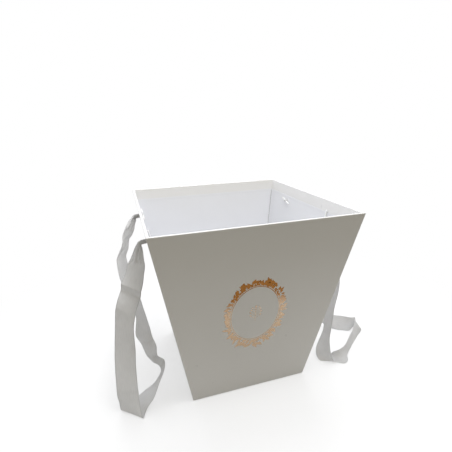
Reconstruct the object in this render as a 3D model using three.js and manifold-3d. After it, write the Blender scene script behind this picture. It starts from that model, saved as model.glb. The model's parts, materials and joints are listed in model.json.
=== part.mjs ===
// Flower box: a rigid tapered paperboard box, open at the top, with two ribbon loop handles.
// Millimetres, +Z up. The origin is the middle of the underside, and the front wall faces -Y.

import * as THREE from 'three';
import { mergeVertices } from 'three/addons/utils/BufferGeometryUtils.js';
import Module from 'manifold-3d';

const wasm = await Module();
wasm.setup();

// ---------------------------------------------------------------- driving dimensions

const TOP_WIDTH = 250;            // outside of the square rim
const BASE_WIDTH = 162;           // outside of the square base
const HEIGHT = 249;

const BOARD = 2.0;                // grey board
const PAPER = 0.3;                // wrap, liners and base cover
const TAPE = 0.2;                 // corner stay tape
const GLUE_GAP = 0.1;             // room between glued layers
const JOINT_GAP = 0.3;            // room between board edges

const TURN_IN = 18;               // wrap folded over the rim, measured down the wall
const LINER_TOP = 16;             // liner's top edge below the rim, measured down the wall
const BASE_TURN_IN = 15;          // wrap folded under the base
const LINER_STEP = 2;             // length of the liner's step off the turned-in edge
const LINER_SEAM = 0.4;           // open seam of the side liner in the back right corner
const BASE_COVER_MARGIN = 4;
const BASE_LINER_MARGIN = 0.5;
const TAPE_LEG = 14;

const HOLE_DIAMETER = 6;
const HOLE_SPREAD = 57.5;         // each hole's distance from the middle of its wall
const HOLE_DROP = 26.2;           // below the rim, measured down the wall

const RIBBON_THICK = 0.9;
const NECK_WIDTH = 5;             // ribbon gathered to pass through its hole
const NECK_THICK = 2.4;
const NECK_OUT = 6.8;             // how far the gathered end stands out of the wall
const SWING_OUT = 8.6;            // swing axis outside the wall
const NECK_TAPER = 0.06;          // share of the ribbon's length over which the neck flattens
const RIBBON_STEPS = 150;         // along the ribbon
const RIBBON_COLUMNS = 4;         // across it

const BARB_LENGTH = 25;
const BARB_WIDTH = 3;
const BARB_THICK = 1.8;

const RING_HALF_WIDTH = 31.3;     // oval foil ring, middle of its line
const RING_HALF_HEIGHT = 40.6;
const RING_CENTRE = 132;          // up the front wall from the base edge
const RING_ACROSS = -3.4;         // printed a little left of the middle
const RING_LINE = 1.1;
const FOIL = 0.1;
const LEAVES_PER_SIDE = 17;
const LEAF_LENGTH = 12.5;
const LEAF_WIDTH = 4.6;

// ---------------------------------------------------------------- derived dimensions

const TAPER = (TOP_WIDTH - BASE_WIDTH) / 2 / HEIGHT;
const LEAN = Math.atan(TAPER);    // wall's lean from upright
const RAISE = Math.cos(LEAN);     // height gained per unit up the wall

// layers, as depths below the outer face, square to the wall
const TAPE_OUT = PAPER + GLUE_GAP;
const TAPE_IN = TAPE_OUT + TAPE;
const BOARD_OUT = TAPE_IN + GLUE_GAP;
const BOARD_IN = BOARD_OUT + BOARD;
const TURN_OUT = BOARD_IN + GLUE_GAP;
const TURN_FACE = TURN_OUT + PAPER;
const LINER_OUT = TURN_FACE + GLUE_GAP;
const LINER_FACE = LINER_OUT + PAPER;

// levels
const WRAP_BOTTOM = PAPER + GLUE_GAP;
const BOARD_BOTTOM = WRAP_BOTTOM + PAPER + GLUE_GAP;
const FLOOR_TOP = BOARD_BOTTOM + BOARD;
const FLOOR_LINER = FLOOR_TOP + GLUE_GAP;
const HOLE_Z = HEIGHT - HOLE_DROP * RAISE;

// half the outline's width at a height, for the surface at a depth below the outer face
function half(z, depth) {
  return BASE_WIDTH / 2 + TAPER * z - depth / Math.cos(LEAN);
}

// ---------------------------------------------------------------- materials

function material(color, roughness, metalness = 0) {
  return new THREE.MeshStandardMaterial({ color, roughness, metalness });
}

const wrapPaper = () => material('#e9e8e4', 0.35);
const linerPaper = () => material('#e4e5ea', 0.7);
const greyBoard = () => material('#9c978c', 0.9);
const stayTape = () => material('#c8a878', 0.85);
const satin = () => material('#eeeeec', 0.4);
const barbPlastic = () => material('#f4f4f2', 0.45);
const copperFoil = () => material('#b87a45', 0.3, 1);

// ---------------------------------------------------------------- solids

function positionsOnly(geometry) {
  const bare = geometry.index ? geometry.clone() : mergeVertices(geometry);
  bare.deleteAttribute('normal');
  bare.deleteAttribute('uv');
  return mergeVertices(bare, 1e-4);
}

function solidOf(geometry) {
  const merged = positionsOnly(geometry);
  const vertProperties = new Float32Array(merged.attributes.position.array);
  const triVerts = new Uint32Array(merged.index.array);
  return new wasm.Manifold(new wasm.Mesh({ numProp: 3, vertProperties, triVerts }));
}

function geometryOf(solid) {
  const mesh = solid.getMesh();
  const geometry = new THREE.BufferGeometry();
  geometry.setAttribute('position', new THREE.BufferAttribute(mesh.vertProperties, 3));
  geometry.setIndex(new THREE.BufferAttribute(mesh.triVerts, 1));
  geometry.computeVertexNormals();
  return geometry;
}

function cutAway(geometry, tools) {
  const rest = tools.reduce((solid, tool) => solid.subtract(solidOf(tool)), solidOf(geometry));
  return geometryOf(rest);
}

function joined(geometries) {
  const [first, ...others] = geometries.map(solidOf);
  return geometryOf(others.reduce((solid, other) => solid.add(other), first));
}

// a box whose points are moved: place(u, v, w) takes -0.5..0.5 along each side
function shapedBox(place, uSteps = 1, wSteps = 1) {
  const geometry = new THREE.BoxGeometry(1, 1, 1, uSteps, 1, wSteps);
  const position = geometry.attributes.position;
  for (let i = 0; i < position.count; i += 1) {
    const point = place(position.getX(i), position.getY(i), position.getZ(i));
    position.setXYZ(i, point.x, point.y, point.z);
  }
  return geometry;
}

// a square ring about the Z axis, from a closed profile of [half width, height]
function squareShell(profile) {
  const points = profile.map(([r, z]) => new THREE.Vector2(r * Math.SQRT2, z));
  return new THREE.LatheGeometry([...points, points[0]], 4, Math.PI / 4).rotateX(Math.PI / 2);
}

// ---------------------------------------------------------------- the four walls

const WALL_TURNS = { front: 0, right: Math.PI / 2, back: Math.PI, left: -Math.PI / 2 };

// holds pieces drawn on a wall: x along it, y up it from the base edge, z out of it
function wallFrame(side) {
  const wall = new THREE.Group();
  wall.rotation.x = Math.PI / 2 + LEAN;
  wall.position.y = -BASE_WIDTH / 2;
  const turned = new THREE.Group();
  turned.rotation.z = WALL_TURNS[side];
  turned.add(wall);
  return turned;
}

function holeDrills(side) {
  const spots = [-HOLE_SPREAD, HOLE_SPREAD];
  return spots.map((x) => {
    const drill = new THREE.CylinderGeometry(HOLE_DIAMETER / 2, HOLE_DIAMETER / 2, 20, 24);
    drill.rotateX(Math.PI / 2);
    drill.translate(x, HOLE_Z / RAISE, 0);
    drill.rotateX(Math.PI / 2 + LEAN);
    drill.translate(0, -BASE_WIDTH / 2, 0);
    return drill.rotateZ(WALL_TURNS[side]);
  });
}

// ---------------------------------------------------------------- boards and tapes

function wallBoard(side) {
  const isSide = side === 'left' || side === 'right';
  const endDepth = isSide ? BOARD_IN + JOINT_GAP : BOARD_OUT;
  const top = HEIGHT - PAPER - GLUE_GAP;
  const board = shapedBox((u, v, w) => {
    const z = THREE.MathUtils.lerp(BOARD_BOTTOM, top, w + 0.5);
    const depth = THREE.MathUtils.lerp(BOARD_OUT, BOARD_IN, v + 0.5);
    return new THREE.Vector3(2 * u * half(z, endDepth), -half(z, depth), z);
  });
  board.rotateZ(WALL_TURNS[side]);
  return isSide ? cutAway(board, holeDrills(side)) : board;
}

function baseBoard() {
  return shapedBox((u, v, w) => {
    const z = THREE.MathUtils.lerp(BOARD_BOTTOM, FLOOR_TOP, w + 0.5);
    const reach = half(z, BOARD_IN) - JOINT_GAP;
    return new THREE.Vector3(2 * u * reach, 2 * v * reach, z);
  });
}

// a strip folded round the corner where two walls meet
function cornerTape(turn) {
  const tape = shapedBox((u, v, w) => {
    const z = THREE.MathUtils.lerp(BOARD_BOTTOM, HEIGHT - PAPER - GLUE_GAP, w + 0.5);
    const corner = half(z, THREE.MathUtils.lerp(TAPE_OUT, TAPE_IN, v + 0.5));
    const leg = 2 * TAPE_LEG;
    const x = u < 0 ? corner + leg * u : corner;
    const y = u > 0 ? -corner + leg * u : -corner;
    return new THREE.Vector3(x, y, z);
  }, 2);
  return tape.rotateZ(turn);
}

// ---------------------------------------------------------------- papers

function outerWrap() {
  const under = BASE_WIDTH / 2 - BASE_TURN_IN;
  const turnEnd = HEIGHT - TURN_IN * RAISE;
  const lip = HEIGHT - PAPER;
  const fold = WRAP_BOTTOM + PAPER;
  const shell = squareShell([
    [under, WRAP_BOTTOM], [half(WRAP_BOTTOM, 0), WRAP_BOTTOM], [half(HEIGHT, 0), HEIGHT],
    [half(HEIGHT, TURN_FACE), HEIGHT], [half(turnEnd, TURN_FACE), turnEnd],
    [half(turnEnd, TURN_OUT), turnEnd], [half(lip, TURN_OUT), lip], [half(lip, PAPER), lip],
    [half(fold, PAPER), fold], [under, fold],
  ]);
  return cutAway(shell, [...holeDrills('left'), ...holeDrills('right')]);
}

function sideLiner() {
  const top = HEIGHT - LINER_TOP * RAISE;
  const stepTop = HEIGHT - (TURN_IN + 1) * RAISE;
  const stepEnd = stepTop - LINER_STEP;
  const shell = squareShell([
    [half(FLOOR_LINER, TURN_OUT), FLOOR_LINER], [half(stepEnd, TURN_OUT), stepEnd],
    [half(stepTop, LINER_OUT), stepTop], [half(top, LINER_OUT), top],
    [half(top, LINER_FACE), top], [half(stepTop, LINER_FACE), stepTop],
    [half(stepEnd, TURN_FACE), stepEnd], [half(FLOOR_LINER, TURN_FACE), FLOOR_LINER],
  ]);
  const seam = new THREE.BoxGeometry(TOP_WIDTH, LINER_SEAM, 2 * HEIGHT);
  seam.translate(TOP_WIDTH / 2 + BASE_WIDTH / 4, 0, 0).rotateZ(Math.PI / 4);
  return cutAway(shell, [seam, ...holeDrills('left'), ...holeDrills('right')]);
}

function baseLiner() {
  const side = 2 * (half(FLOOR_LINER, TURN_FACE) - BASE_LINER_MARGIN);
  return new THREE.BoxGeometry(side, side, PAPER).translate(0, 0, FLOOR_LINER + PAPER / 2);
}

function baseCover() {
  const side = BASE_WIDTH - 2 * BASE_COVER_MARGIN;
  return new THREE.BoxGeometry(side, side, PAPER).translate(0, 0, PAPER / 2);
}

// ---------------------------------------------------------------- foil print on the front

function ringPoint(angle, outward = 0) {
  const x = (RING_HALF_WIDTH + outward) * Math.sin(angle);
  const y = (RING_HALF_HEIGHT + outward) * Math.cos(angle);
  return new THREE.Vector2(x, y);
}

function foilFrom(shape, curveSegments) {
  return new THREE.ExtrudeGeometry(shape, { depth: FOIL, bevelEnabled: false, curveSegments });
}

function ovalRing() {
  const outer = new THREE.Shape();
  outer.absellipse(0, 0, RING_HALF_WIDTH + RING_LINE / 2, RING_HALF_HEIGHT + RING_LINE / 2,
    0, 2 * Math.PI);
  const inner = new THREE.Path();
  inner.absellipse(0, 0, RING_HALF_WIDTH - RING_LINE / 2, RING_HALF_HEIGHT - RING_LINE / 2,
    0, 2 * Math.PI);
  outer.holes.push(inner);
  return foilFrom(outer, 36);
}

// a pointed leaf that starts at its own origin and points along +X
function leaf(length, width) {
  const shape = new THREE.Shape();
  shape.moveTo(0, 0);
  shape.quadraticCurveTo(length * 0.4, width, length, 0);
  shape.quadraticCurveTo(length * 0.4, -width, 0, 0);
  return foilFrom(shape, 5);
}

// leaves climb each side of the oval from the foot to the crown
function foilWreath() {
  const pieces = [ovalRing()];
  for (const side of [-1, 1]) {
    for (let i = 0; i < LEAVES_PER_SIDE; i += 1) {
      const angle = side * Math.PI * (1 - (i + 0.5) / LEAVES_PER_SIDE);
      const root = ringPoint(angle);
      const outward = Math.atan2(root.y, root.x);
      const sweep = (i % 2 ? 0.35 : 1.0) * side;
      const size = 1 - 0.25 * (i % 2);
      const piece = leaf(LEAF_LENGTH * size, LEAF_WIDTH * size);
      piece.rotateZ(outward + sweep);
      pieces.push(piece.translate(root.x, root.y, 0));
    }
  }
  return joined(pieces);
}

// a small sprig in the middle of the oval: a stem with three buds and two leaves
function foilSprig() {
  const stem = new THREE.BoxGeometry(0.9, 20, FOIL).translate(0, 0, FOIL / 2);
  const pieces = [stem];
  for (const [height, turn, length] of [[9, 90, 9], [3, 45, 9], [3, 135, 9], [-7, 35, 10], [-7, 145, 10]]) {
    pieces.push(leaf(length, 3).rotateZ(turn * Math.PI / 180).translate(0, height, 0));
  }
  return joined(pieces);
}

// ---------------------------------------------------------------- ribbons

// Each row is the middle of the ribbon, and the way across it from its first edge to its second.
// The left loop hangs from its front hole, folds where it meets the floor, and comes back up.
const LEFT_ROUTE = [
  [[-130, -57.5, 215], [6, -8, -2]], [[-132, -57.5, 206], [10, -11, 0]],
  [[-134.5, -58, 196], [16, -13, 2]], [[-138, -59, 183], [21, -14, 1]],
  [[-142, -60, 170], [22, -9, -9]], [[-146, -62, 158], [21, -8, -10]],
  [[-151, -65, 146], [20, -5, -13]], [[-155, -68, 126], [20, -12, -9]],
  [[-158, -71, 103], [23, -10, -1]], [[-160, -73, 74], [24, -4, -6]],
  [[-161, -75, 40], [25, -3, -5]], [[-161, -77, 14], [25, -12, -4]],
  [[-159, -79, 1.2], [26, -21, 0]], [[-156, -74, 4], [25, -20, 0]],
  [[-146, -73, 12], [16, -20, 3]], [[-136, -71, 20], [10, -22, 5]],
  [[-124, -63, 29], [5, -19, 15]], [[-115, -52, 38], [3, -17, 18]],
  [[-116, -50, 46], [6, -16, 18]], [[-122, -50, 57], [9, -17, 15]],
  [[-128, -49, 68], [16, -17, 6]], [[-133, -48, 82], [22, -8, -8]],
  [[-134, -45, 97], [19, 4, -16]], [[-136, -40, 116], [13, 15, -15]],
  [[-144, -20, 147], [14, 19, -8]], [[-149, -8, 160], [13, 21, -3]],
  [[-151, 4, 175], [12, 21, -5]], [[-150, 13, 184], [9, 21, -10]],
  [[-144, 23, 196], [9, 20, -12]], [[-138, 34, 206], [9, 17, -11]],
  [[-134, 44, 214], [8, 15, -7]], [[-131, 51, 219], [9, 11, -4]],
];

// The right loop drops beside the wall, runs out along the floor on its edge, turns and climbs back.
const RIGHT_ROUTE = [
  [[131.5, -57.5, 213], [1, -9, 0]], [[133, -57.5, 203], [0, -16, 0]],
  [[135, -57.5, 188], [-1, -24, 2]], [[137, -58, 165], [-2, -25, 2]],
  [[138, -58, 140], [-2, -25, 2]], [[138, -58, 115], [-2, -25, 2]],
  [[136, -58, 95], [-2, -25, 2]], [[134, -60, 76], [-3, -25, 3]],
  [[133, -61, 58], [-5, -24, 3]], [[131, -62, 44], [-5, -24, 2]],
  [[127, -64, 30], [2, -24, 3]], [[124, -67, 17], [11, -22, 2]],
  [[125, -71, 6.5], [17, -18, 1]], [[132, -75, 1.6], [24, -12, 0]],
  [[146, -74, 2], [14, -21, -1]], [[156, -71, 9], [18, 2, -16]],
  [[170, -64, 11], [16, 8, -18]], [[186, -52, 13], [13, 5, -21]],
  [[206, -36, 11], [15, 5, -18]], [[224, -20, 11.5], [14, 0, -19]],
  [[222, -12, 12], [3, 6, -22]], [[212, -15, 12.5], [0, 0, -23]],
  [[200, -9, 13], [1, -9, -23]], [[187, -1, 13], [1, -12, -22]],
  [[173, 9, 17], [3, 9, -23]], [[163, 17, 30], [6, 17, -17]],
  [[157, 24, 50], [7, 21, -11]], [[151, 32, 80], [6, 23, -6]],
  [[146, 40, 115], [4, 25, -3]], [[141, 47, 150], [2, 25, -1]],
  [[136, 53, 185], [0, 23, 0]], [[133, 56, 204], [0, 16, 0]],
  [[131, 57.5, 213], [0, 9, 0]],
];

// the swing axis runs along Y at this distance from the middle, at this height
const SWING_X = half(HOLE_Z, 0) + SWING_OUT * Math.cos(LEAN);
const SWING_Z = HOLE_Z - SWING_OUT * Math.sin(LEAN);

function ribbonLoop(side, route) {
  const start = [[side * SWING_X, -HOLE_SPREAD, SWING_Z], [0, -NECK_WIDTH, 0]];
  const end = [[side * SWING_X, HOLE_SPREAD, SWING_Z], [0, NECK_WIDTH, 0]];
  const rows = [start, ...route, end];
  const middle = new THREE.CatmullRomCurve3(rows.map(([at]) => new THREE.Vector3(...at)));
  const across = new THREE.CatmullRomCurve3(rows.map(([, way]) => new THREE.Vector3(...way)));
  return shapedBox((u, v, w) => {
    const t = w + 0.5;
    const way = across.getPoint(t);
    const face = middle.getTangent(t).cross(way).normalize();
    const nearEnd = Math.min(t, 1 - t) / NECK_TAPER;
    const thick = THREE.MathUtils.lerp(NECK_THICK, RIBBON_THICK, Math.min(nearEnd, 1));
    return middle.getPoint(t).addScaledVector(way, u).addScaledVector(face, v * thick);
  }, RIBBON_COLUMNS, RIBBON_STEPS);
}

// the gathered end, from behind the liner out through the hole
function ribbonEnd() {
  const length = LINER_FACE + NECK_OUT;
  const end = new THREE.CylinderGeometry(0.5, 0.5, length, 20).rotateX(Math.PI / 2);
  return end.scale(NECK_WIDTH, NECK_THICK, 1).translate(0, 0, NECK_OUT - length / 2);
}

// the slim bar that the ribbon's end is tied to, so that it can't pull back through the hole
function ribbonBarb(tilt) {
  const run = (BARB_LENGTH - BARB_WIDTH) / 2;
  const shape = new THREE.Shape();
  shape.absarc(run, 0, BARB_WIDTH / 2, -Math.PI / 2, Math.PI / 2);
  shape.absarc(-run, 0, BARB_WIDTH / 2, Math.PI / 2, 1.5 * Math.PI);
  const bar = new THREE.ExtrudeGeometry(shape, {
    depth: BARB_THICK - 0.6, bevelThickness: 0.3, bevelSize: 0.3, bevelOffset: -0.3, bevelSegments: 1,
    curveSegments: 8,
  });
  return bar.rotateZ(tilt * Math.PI / 180).translate(0, 0, -LINER_FACE - JOINT_GAP - BARB_THICK + 0.3);
}

// ---------------------------------------------------------------- assembly

const box = new THREE.Group();

function addPiece(name, geometry, finish, parent = box) {
  const mesh = new THREE.Mesh(geometry, finish);
  mesh.name = name;
  parent.add(mesh);
  return mesh;
}

function addOnWall(name, geometry, finish, side, x, y, z = 0) {
  const frame = wallFrame(side);
  box.add(frame);
  const mesh = addPiece(name, geometry, finish, frame.children[0]);
  mesh.position.set(x, y, z);
}

function addShell() {
  for (const side of Object.keys(WALL_TURNS)) {
    addPiece(`${side}_board`, wallBoard(side), greyBoard());
  }
  addPiece('base_board', baseBoard(), greyBoard());
  const corners = ['front_right', 'back_right', 'back_left', 'front_left'];
  corners.forEach((corner, i) => {
    addPiece(`${corner}_corner_tape`, cornerTape(i * Math.PI / 2), stayTape());
  });
  addPiece('outer_wrap', outerWrap(), wrapPaper());
  addPiece('side_liner', sideLiner(), linerPaper());
  addPiece('base_liner', baseLiner(), linerPaper());
  addPiece('base_cover', baseCover(), wrapPaper());
}

function addFoil() {
  addOnWall('foil_wreath', foilWreath(), copperFoil(), 'front', RING_ACROSS, RING_CENTRE, GLUE_GAP);
  addOnWall('foil_sprig', foilSprig(), copperFoil(), 'front', RING_ACROSS, RING_CENTRE, GLUE_GAP);
}

// [wall, end, distance along the wall, tilt of the barb in degrees from level]
const RIBBON_ENDS = [
  ['left', 'front', HOLE_SPREAD, 80],
  ['left', 'back', -HOLE_SPREAD, -25],
  ['right', 'front', -HOLE_SPREAD, 88],
  ['right', 'back', HOLE_SPREAD, 14],
];

function addHandles() {
  for (const [side, end, along, tilt] of RIBBON_ENDS) {
    const up = HOLE_Z / RAISE;
    addOnWall(`${side}_${end}_ribbon_end`, ribbonEnd(), satin(), side, along, up);
    addOnWall(`${side}_${end}_barb`, ribbonBarb(tilt), barbPlastic(), side, along, up);
  }
  addPiece('left_ribbon', ribbonLoop(-1, LEFT_ROUTE), satin());
  addPiece('right_ribbon', ribbonLoop(1, RIGHT_ROUTE), satin());
}

addShell();
addFoil();
addHandles();

export default box;
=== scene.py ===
import json
import math
import random

import bmesh
import bpy
import numpy as np
from mathutils import Matrix, Vector


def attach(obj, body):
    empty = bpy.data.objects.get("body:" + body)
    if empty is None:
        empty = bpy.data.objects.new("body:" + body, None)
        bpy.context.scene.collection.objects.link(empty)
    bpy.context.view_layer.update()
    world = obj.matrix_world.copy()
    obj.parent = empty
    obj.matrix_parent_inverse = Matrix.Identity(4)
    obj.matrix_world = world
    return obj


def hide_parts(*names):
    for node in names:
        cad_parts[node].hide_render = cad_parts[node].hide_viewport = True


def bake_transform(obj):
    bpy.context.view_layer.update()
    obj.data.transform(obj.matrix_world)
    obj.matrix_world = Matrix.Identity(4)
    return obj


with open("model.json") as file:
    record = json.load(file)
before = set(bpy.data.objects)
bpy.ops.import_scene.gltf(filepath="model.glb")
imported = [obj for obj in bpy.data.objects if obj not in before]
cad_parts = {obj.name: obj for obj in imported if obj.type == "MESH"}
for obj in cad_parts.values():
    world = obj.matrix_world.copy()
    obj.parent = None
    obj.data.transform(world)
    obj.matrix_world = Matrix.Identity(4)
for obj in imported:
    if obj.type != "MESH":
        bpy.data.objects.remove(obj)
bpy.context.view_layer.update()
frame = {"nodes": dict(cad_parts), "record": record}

# A tapered paperboard flower box with a ribbon loop handle on each side wall.
# Metres, +Z up, the printed front wall faces -Y.

MM = 0.001

# ---------------------------------------------------------------- sizes

TOP_WIDTH = 250 * MM
BASE_WIDTH = 162 * MM
HEIGHT = 249 * MM
TAPER = (TOP_WIDTH - BASE_WIDTH) / 2 / HEIGHT
LEAN = math.atan(TAPER)
RAISE = math.cos(LEAN)            # height gained per unit up the wall

PAPER = 0.3 * MM
WRAP_BOTTOM = 0.4 * MM            # the base cover is below it
FLOOR_LINER = 2.9 * MM
TURN_FACE = 3.1 * MM              # depths below the wall's outer face, square to it
TURN_OUT = 2.8 * MM
LINER_OUT = 3.2 * MM
LINER_FACE = 3.5 * MM
TURN_IN = 18 * MM                 # wrap folded over the rim
LINER_TOP = 16 * MM               # liner's top edge below the rim, down the wall
LINER_STEP = 2 * MM
LINER_SEAM = 0.5 * MM
SEAM_CUT_START = 60 * MM          # the seam's cutter, out from the middle of the box
SEAM_CUT_END = 200 * MM
SEAM_CUT_LOW = -0.1
SEAM_CUT_HIGH = 0.4
BASE_TURN_IN = 15 * MM
RIM_ROUND = 1.0 * MM
FOOT_ROUND = 1.3 * MM
CORNER_ROUND = 1.2 * MM           # upright edges outside
INNER_ROUND = 0.7 * MM            # upright corners inside
LAP_WIDTH = 11 * MM               # glue lap of the wrap's seam on the back wall
MITRE_TOP = 2.5 * MM              # folded corners of the turned-in edge
MITRE_FOOT = 8 * MM

HOLE_DIAMETER = 6 * MM
HOLE_SPREAD = 57.5 * MM
HOLE_Z = HEIGHT - 26.2 * MM * RAISE
SWING_OUT = 8.6 * MM

RIBBON_WIDTH = 25 * MM
SATIN_THICK = 0.3 * MM
SATIN_GLOW = 0.54                 # share of light that passes through one skin of the satin
NECK_WIDTH = 5 * MM
RIBBON_COLUMNS = 28
RIBBON_PITCH = 1.0 * MM           # spacing of the rows of the ribbon's mesh
LONG_RIPPLE = 0.30 * MM
LONG_RIPPLE_LENGTH = 0.061
SHORT_RIPPLE = 0.16 * MM
SHORT_RIPPLE_LENGTH = 0.033
CUP_HEIGHT = 0.6 * MM             # curl of the ribbon across its width
CUP_LENGTH = 0.17
RIB_PITCH = 0.28 * MM             # spacing of the satin's threads
WARP_PITCH = 0.22 * MM
SELVEDGE_START = 11.3 * MM        # from the ribbon's middle
SELVEDGE_FULL = 11.5 * MM
NECK_LENGTH = 50 * MM             # over which each end is gathered
NECK_PLEATS = 2.5

BARB_LENGTH = 25 * MM
BARB_WIDTH = 3 * MM
BARB_THICK = 1.8 * MM
BARB_GAP = 0.3 * MM

RING_HALF_WIDTH = 31.3 * MM
RING_HALF_HEIGHT = 40.6 * MM
RING_CENTRE = 132 * MM
RING_ACROSS = -3.4 * MM           # printed a little left of the middle
RING_LINE = 0.9 * MM
FOIL_LOW = 0.02 * MM
FOIL_HIGH = 0.07 * MM
FOIL_LIT_REFLECTION_BELOW = 138 * MM        # heights between which the foil's painted reflection turns from pale to dark copper
FOIL_DARK_REFLECTION_ABOVE = 156 * MM
LEAF_STEP = 0.004 * MM            # lift that keeps overlapping leaves apart
FINE_RING_OUT = 1.9 * MM          # second, finer oval outside the first
FINE_RING_LINE = 0.45 * MM
TUFT_ANGLE = 0.42                 # of each crown tuft from the top of the oval, in radians
TUFT_SPREAD = 0.14
FOOT_REACH = 1.1                  # radians up each side over which the foot's leaves are larger

# (nearest root, farthest root, leaves on each side, size): roots in mm outside the oval
LEAF_LAYERS = ((0.8, 2.2, 64, 0.85), (3.0, 6.2, 50, 1.05))

WALL_TURNS = {"front": 0, "right": math.pi / 2, "back": math.pi, "left": -math.pi / 2}


def half(z, depth):
    """Half the outline's width at a height, for the surface at a depth below the outer face."""
    return BASE_WIDTH / 2 + TAPER * z - depth / math.cos(LEAN)


def wall_frame(side):
    """Places pieces drawn on a wall: x along it, y up it from the base edge, z out of it."""
    upright = Matrix.Rotation(math.pi / 2 + LEAN, 4, "X")
    return (
        Matrix.Rotation(WALL_TURNS[side], 4, "Z")
        @ Matrix.Translation((0, -BASE_WIDTH / 2, 0))
        @ upright
    )


# ---------------------------------------------------------------- camera

def make_camera():
    data = bpy.data.cameras.new("camera")
    data.sensor_width = 36
    data.lens = 26.83
    right = Vector((0.95296, -0.30257, -0.01769))
    up = Vector((0.10752, 0.28293, 0.95309))
    back = -Vector((0.28337, 0.91017, -0.30216))
    camera = bpy.data.objects.new("camera", data)
    turn = Matrix((right, up, back)).transposed()
    camera.matrix_world = Matrix.Translation((-0.14146, -0.43408, 0.35485)) @ turn.to_4x4()
    bpy.context.scene.collection.objects.link(camera)
    bpy.context.scene.camera = camera


make_camera()


# ---------------------------------------------------------------- materials

def colour_mix(tree, share, first, second):
    """A node that mixes two colours by share, each a value or another node's output."""
    made = tree.nodes.new("ShaderNodeMix")
    made.data_type = "RGBA"
    for index, value in ((0, share), (6, first), (7, second)):
        if isinstance(value, bpy.types.NodeSocket):
            tree.links.new(value, made.inputs[index])
        else:
            made.inputs[index].default_value = value
    return made.outputs[2]


class Recipe:
    """One node material, with short ways to add its nodes."""

    def __init__(self, name, **values):
        self.material = bpy.data.materials.new(name)
        self.material.use_nodes = True
        self.tree = self.material.node_tree
        self.shader = self.tree.nodes["Principled BSDF"]
        for socket, value in values.items():
            self.shader.inputs[socket.replace("_", " ")].default_value = value

    def node(self, kind, inputs=(), **settings):
        made = self.tree.nodes.new(kind)
        for name, value in settings.items():
            setattr(made, name, value)
        for name, value in dict(inputs).items():
            socket = made.inputs[name]
            if isinstance(value, bpy.types.NodeSocket):
                self.tree.links.new(value, socket)
            else:
                socket.default_value = value
        return made

    def place(self, scale=(1, 1, 1)):
        """The point on the piece in metres, stretched by scale."""
        coordinates = self.node("ShaderNodeTexCoord").outputs["Object"]
        return self.node(
            "ShaderNodeMapping", {"Vector": coordinates, "Scale": scale}
        ).outputs["Vector"]

    def noise(self, scale, detail=2.0, place=None, roughness=0.5):
        vector = self.place() if place is None else place
        return self.node(
            "ShaderNodeTexNoise",
            {"Vector": vector, "Scale": scale, "Detail": detail, "Roughness": roughness},
        ).outputs["Fac"]

    def spread(self, value, low, high, to_low=0.0, to_high=1.0):
        """Value's range low..high as to_low..to_high, clamped."""
        return self.node(
            "ShaderNodeMapRange",
            {"Value": value, "From Min": low, "From Max": high, "To Min": to_low, "To Max": to_high},
        ).outputs["Result"]

    def maths(self, operation, first, second):
        return self.node(
            "ShaderNodeMath", {0: first, 1: second}, operation=operation
        ).outputs[0]

    def mixed(self, share, first, second):
        return colour_mix(self.tree, share, first, second)

    def bump(self, height, distance, strength=1.0, under=None):
        inputs = {"Height": height, "Distance": distance, "Strength": strength}
        if under is not None:
            inputs["Normal"] = under
        return self.node("ShaderNodeBump", inputs).outputs["Normal"]

    def drive(self, **outputs):
        for socket, output in outputs.items():
            self.tree.links.new(output, self.shader.inputs[socket.replace("_", " ")])
        return self.material


def grey(value, warmth=0.0):
    return (value * (1 + warmth), value, value * (1 - warmth), 1)


def wrap_paper():
    """White paper laminated with a semi-gloss film, faintly scuffed at the foot."""
    r = Recipe("wrap_paper", Coat_Weight=0.25, Coat_Roughness=0.16, Specular_IOR_Level=0.45)
    tone = r.mixed(r.noise(9, 3), grey(0.785, 0.008), grey(0.825, 0.004))
    tone = r.mixed(r.spread(r.noise(1100, 2), 0.3, 0.7, 0, 0.25), tone, grey(0.76, 0.01))
    height = r.node("ShaderNodeSeparateXYZ", {"Vector": r.place()}).outputs["Z"]
    low = r.spread(height, 0.0, 7 * MM, 1.0, 0.0)
    scuffs = r.spread(r.noise(420, 4, roughness=0.65), 0.50, 0.68, 0, 0.35)
    tone = r.mixed(r.maths("MULTIPLY", low, scuffs), tone, grey(0.52, 0.02))
    shine = r.spread(r.noise(55, 4), 0.25, 0.75, 0.27, 0.39)
    waves = r.bump(r.noise(16, 2), 0.5 * MM, 0.35)
    peel = r.bump(r.noise(650, 2), 0.02 * MM, 0.5, under=waves)
    return r.drive(Base_Color=tone, Roughness=shine, Normal=peel)


def liner_paper():
    """Cool white uncoated paper with a fine fibre."""
    r = Recipe("liner_paper", Specular_IOR_Level=0.25)
    fibre = r.noise(1600, 3, place=r.place((1, 1, 0.45)))
    tone = r.mixed(r.noise(12, 3), (0.785, 0.79, 0.815, 1), (0.82, 0.825, 0.845, 1))
    tone = r.mixed(r.spread(fibre, 0.35, 0.7, 0, 0.2), tone, (0.71, 0.715, 0.74, 1))
    shine = r.spread(r.noise(90, 3), 0.3, 0.7, 0.68, 0.82)
    grain = r.bump(fibre, 0.04 * MM, 0.5, under=r.bump(r.noise(20, 2), 0.5 * MM, 0.3))
    return r.drive(Base_Color=tone, Roughness=shine, Normal=grain)


def grey_board():
    """Raw recycled board with dark and light flecks."""
    r = Recipe("grey_board", Specular_IOR_Level=0.2)
    flecks = r.noise(520, 5, roughness=0.7)
    tone = r.mixed(r.spread(flecks, 0.35, 0.65), (0.27, 0.25, 0.21, 1), (0.40, 0.38, 0.33, 1))
    tone = r.mixed(r.spread(r.noise(2400, 1), 0.62, 0.7, 0, 0.6), tone, (0.12, 0.11, 0.10, 1))
    shine = r.spread(flecks, 0.3, 0.7, 0.85, 0.97)
    return r.drive(Base_Color=tone, Roughness=shine, Normal=r.bump(flecks, 0.1 * MM, 0.6))


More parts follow.
